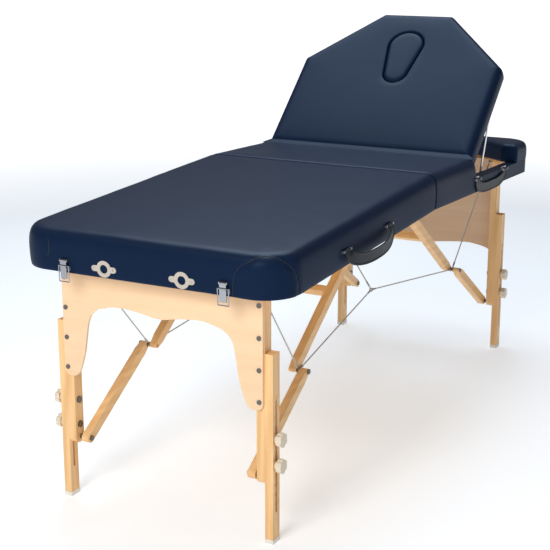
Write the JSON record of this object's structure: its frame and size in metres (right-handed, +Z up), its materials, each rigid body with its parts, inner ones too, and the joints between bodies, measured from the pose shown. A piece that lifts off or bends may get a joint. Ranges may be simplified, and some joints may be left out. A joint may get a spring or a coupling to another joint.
{
  "type": "massage table",
  "caption": "Folding padded massage table with wooden trestle ends, cable-stayed braces, adjustable legs, tilting propped backrest with breath hole plug, cradle sockets and handles.",
  "frame": {"origin": "on the floor, under the middle of the table: x = 0 is the fold between both halves, y = 0 the middle of its width", "axes": "+X along the table towards the head end with the backrest, +Y to the table's left, +Z up"},
  "size_m": [1.9126, 0.768, 1.1654],
  "materials": {
    "vinyl": "smooth padded navy upholstery vinyl, semi-gloss",
    "vinyl_side": "dark navy upholstery vinyl, semi-gloss",
    "strap": "dark strap with sewn edges",
    "frame_wood": "clear-lacquered pale hardwood",
    "leg_wood": "clear-lacquered pale hardwood",
    "panel_wood": "clear-lacquered pale veneer",
    "deck_wood": "plain plywood",
    "cream_plastic": "cream moulded plastic",
    "steel": "zinc-plated steel",
    "chrome": "polished nickel plate",
    "cable": "coated wire rope with black ferrules"
  },
  "bodies": {
    "foot_half": {"foot_frame": "frame_wood", "foot_deck": "deck_wood", "foot_pad": "vinyl", "foot_cover": "vinyl_side", "cradle_sockets": "cream_plastic", "fittings_foot": "steel", "fold_leaf_foot": "steel", "end_cables": "cable", "centre_cables": "cable"},
    "fold_pin": {"fold_pin": "steel"},
    "head_half": {"fold_leaf_head": "steel", "head_frame": "frame_wood", "head_decks": "deck_wood", "middle_pad": "vinyl", "corner_pads": "vinyl", "head_cover": "vinyl_side", "fittings_head": "steel", "crease_leaf_middle": "steel"},
    "backrest": {"crease_leaf_back": "steel", "backrest_board": "deck_wood", "backrest_pad": "vinyl"},
    "breath_plug": {"breath_plug": "vinyl"},
    "prop_left": {"prop_arm_left": "steel"},
    "prop_right": {"prop_arm_right": "steel"},
    "foot_handle": {"foot_handle": "strap"},
    "head_handle": {"head_handle": "strap"},
    "legs_foot": {"panel_foot": "panel_wood", "upper_legs_foot": "leg_wood", "leg_bolts_foot": "steel"},
    "upper_braces_foot": {"upper_braces_foot": "leg_wood", "crossbar_foot": "leg_wood"},
    "lower_braces_foot": {"lower_braces_foot": "leg_wood", "knee_bolts_foot": "steel"},
    "lower_leg_foot_left": {"lower_leg_foot_left": "leg_wood", "foot_cap_foot_left": "cream_plastic"},
    "knob_foot_left_high": {"knob_foot_left_high": "cream_plastic"},
    "knob_foot_left_low": {"knob_foot_left_low": "cream_plastic"},
    "lower_leg_foot_right": {"lower_leg_foot_right": "leg_wood", "foot_cap_foot_right": "cream_plastic"},
    "knob_foot_right_high": {"knob_foot_right_high": "cream_plastic"},
    "knob_foot_right_low": {"knob_foot_right_low": "cream_plastic"},
    "legs_head": {"panel_head": "panel_wood", "upper_legs_head": "leg_wood", "leg_bolts_head": "steel"},
    "upper_braces_head": {"upper_braces_head": "leg_wood", "crossbar_head": "leg_wood"},
    "lower_braces_head": {"lower_braces_head": "leg_wood", "knee_bolts_head": "steel"},
    "lower_leg_head_left": {"lower_leg_head_left": "leg_wood", "foot_cap_head_left": "cream_plastic"},
    "knob_head_left_high": {"knob_head_left_high": "cream_plastic"},
    "knob_head_left_low": {"knob_head_left_low": "cream_plastic"},
    "lower_leg_head_right": {"lower_leg_head_right": "leg_wood", "foot_cap_head_right": "cream_plastic"},
    "knob_head_right_high": {"knob_head_right_high": "cream_plastic"},
    "knob_head_right_low": {"knob_head_right_low": "cream_plastic"},
    "latch_lever_left": {"latch_lever_left": "chrome"},
    "latch_bail_left": {"latch_bail_left": "chrome"},
    "latch_lever_right": {"latch_lever_right": "chrome"},
    "latch_bail_right": {"latch_bail_right": "chrome"}
  },
  "joints": [
    {"name": "fold_first_half", "type": "hinge", "parent": "foot_half", "child": "fold_pin", "pos_m": [0, 0, 0.674], "axis": [0, 1, 0], "range_deg": [0, 87.8], "deforming": ["end_cables", "centre_cables"]},
    {"name": "fold_second_half", "type": "hinge", "parent": "fold_pin", "child": "head_half", "pos_m": [0, 0, 0.674], "axis": [0, 1, 0], "range_deg": [0, 87.8], "deforming": ["end_cables", "centre_cables"]},
    {"name": "leg_fold_foot", "type": "hinge", "parent": "foot_half", "child": "legs_foot", "pos_m": [-0.859, 0, 0.66902], "axis": [0, -1, 0], "range_deg": [0, 92.7]},
    {"name": "upper_brace_fold_foot", "type": "hinge", "parent": "foot_half", "child": "upper_braces_foot", "pos_m": [-0.06268, 0, 0.70462], "axis": [0, 1, 0], "range_deg": [0, 33.24]},
    {"name": "lower_brace_fold_foot", "type": "hinge", "parent": "legs_foot", "child": "lower_braces_foot", "pos_m": [-0.854, 0, 0.168], "axis": [0, -1, 0], "range_deg": [0, 57.87]},
    {"name": "leg_length_foot_left", "type": "slide", "parent": "legs_foot", "child": "lower_leg_foot_left", "axis": [0, 0, 1], "range_m": [-0.095, 0.12]},
    {"name": "knob_foot_left_high_turn", "type": "hinge", "parent": "legs_foot", "child": "knob_foot_left_high", "pos_m": [-0.859, 0.323, 0.272], "axis": [0, 1, 0], "continuous": true},
    {"name": "knob_foot_left_low_turn", "type": "hinge", "parent": "legs_foot", "child": "knob_foot_left_low", "pos_m": [-0.859, 0.323, 0.204], "axis": [0, 1, 0], "continuous": true},
    {"name": "leg_length_foot_right", "type": "slide", "parent": "legs_foot", "child": "lower_leg_foot_right", "axis": [0, 0, 1], "range_m": [-0.095, 0.12]},
    {"name": "knob_foot_right_high_turn", "type": "hinge", "parent": "legs_foot", "child": "knob_foot_right_high", "pos_m": [-0.859, -0.323, 0.272], "axis": [0, -1, 0], "continuous": true},
    {"name": "knob_foot_right_low_turn", "type": "hinge", "parent": "legs_foot", "child": "knob_foot_right_low", "pos_m": [-0.859, -0.323, 0.204], "axis": [0, -1, 0], "continuous": true},
    {"name": "handle_swing_foot", "type": "hinge", "parent": "foot_half", "child": "foot_handle", "pos_m": [-0.35447, -0.385, 0.70542], "axis": [-0.9993, 0, -0.0384], "range_deg": [0, 90]},
    {"name": "leg_fold_head", "type": "hinge", "parent": "head_half", "child": "legs_head", "pos_m": [0.859, 0, 0.66902], "axis": [0, 1, 0], "range_deg": [0, 92.7]},
    {"name": "upper_brace_fold_head", "type": "hinge", "parent": "head_half", "child": "upper_braces_head", "pos_m": [0.06268, 0, 0.70462], "axis": [0, -1, 0], "range_deg": [0, 33.24]},
    {"name": "lower_brace_fold_head", "type": "hinge", "parent": "legs_head", "child": "lower_braces_head", "pos_m": [0.854, 0, 0.168], "axis": [0, 1, 0], "range_deg": [0, 57.87]},
    {"name": "leg_length_head_left", "type": "slide", "parent": "legs_head", "child": "lower_leg_head_left", "axis": [0, 0, 1], "range_m": [-0.095, 0.12]},
    {"name": "knob_head_left_high_turn", "type": "hinge", "parent": "legs_head", "child": "knob_head_left_high", "pos_m": [0.859, 0.323, 0.272], "axis": [0, 1, 0], "continuous": true},
    {"name": "knob_head_left_low_turn", "type": "hinge", "parent": "legs_head", "child": "knob_head_left_low", "pos_m": [0.859, 0.323, 0.204], "axis": [0, 1, 0], "continuous": true},
    {"name": "leg_length_head_right", "type": "slide", "parent": "legs_head", "child": "lower_leg_head_right", "axis": [0, 0, 1], "range_m": [-0.095, 0.12]},
    {"name": "knob_head_right_high_turn", "type": "hinge", "parent": "legs_head", "child": "knob_head_right_high", "pos_m": [0.859, -0.323, 0.272], "axis": [0, -1, 0], "continuous": true},
    {"name": "knob_head_right_low_turn", "type": "hinge", "parent": "legs_head", "child": "knob_head_right_low", "pos_m": [0.859, -0.323, 0.204], "axis": [0, -1, 0], "continuous": true},
    {"name": "handle_swing_head", "type": "hinge", "parent": "head_half", "child": "head_handle", "pos_m": [0.35447, -0.385, 0.70542], "axis": [-0.9993, 0, 0.0384], "range_deg": [0, 90]},
    {"name": "backrest_tilt", "type": "hinge", "parent": "head_half", "child": "backrest", "pos_m": [0.35473, 0, 0.76445], "axis": [0, 1, 0], "range_deg": [0, 45]},
    {"name": "prop_swing_left", "type": "hinge", "parent": "head_half", "child": "prop_left", "pos_m": [0.50582, 0, 0.68559], "axis": [0, 1, 0], "range_deg": [0, 70.56]},
    {"name": "prop_swing_right", "type": "hinge", "parent": "head_half", "child": "prop_right", "pos_m": [0.50582, 0, 0.68559], "axis": [0, 1, 0], "range_deg": [0, 70.56]},
    {"name": "breath_plug_lift", "type": "slide", "parent": "backrest", "child": "breath_plug", "axis": [-0.6794, 0, 0.7337], "range_m": [0, 0.12]},
    {"name": "latch_lever_swing_left", "type": "hinge", "parent": "foot_half", "child": "latch_lever_left", "pos_m": [-0.95418, 0.225, 0.67337], "axis": [0, 1, 0], "range_deg": [0, 120]},
    {"name": "latch_bail_swing_left", "type": "hinge", "parent": "latch_lever_left", "child": "latch_bail_left", "pos_m": [-0.95598, 0.225, 0.66029], "axis": [0, 1, 0], "range_deg": [-10, 70]},
    {"name": "latch_lever_swing_right", "type": "hinge", "parent": "foot_half", "child": "latch_lever_right", "pos_m": [-0.95418, -0.225, 0.67337], "axis": [0, 1, 0], "range_deg": [0, 120]},
    {"name": "latch_bail_swing_right", "type": "hinge", "parent": "latch_lever_right", "child": "latch_bail_right", "pos_m": [-0.95598, -0.225, 0.66029], "axis": [0, 1, 0], "range_deg": [-10, 70]}
  ],
  "couplings": [
    {"joint": "leg_fold_foot", "follows": "fold_first_half", "ratio": 1.0501},
    {"joint": "upper_brace_fold_foot", "follows": "fold_first_half", "ratio": 0.37288},
    {"joint": "lower_brace_fold_foot", "follows": "fold_first_half", "ratio": 0.65341},
    {"joint": "leg_fold_head", "follows": "fold_first_half", "ratio": 1.0501},
    {"joint": "upper_brace_fold_head", "follows": "fold_first_half", "ratio": 0.37288},
    {"joint": "lower_brace_fold_head", "follows": "fold_first_half", "ratio": 0.65341},
    {"joint": "prop_swing_left", "follows": "backrest_tilt", "ratio": 1.5568},
    {"joint": "prop_swing_right", "follows": "backrest_tilt", "ratio": 1.5568}
  ]
}
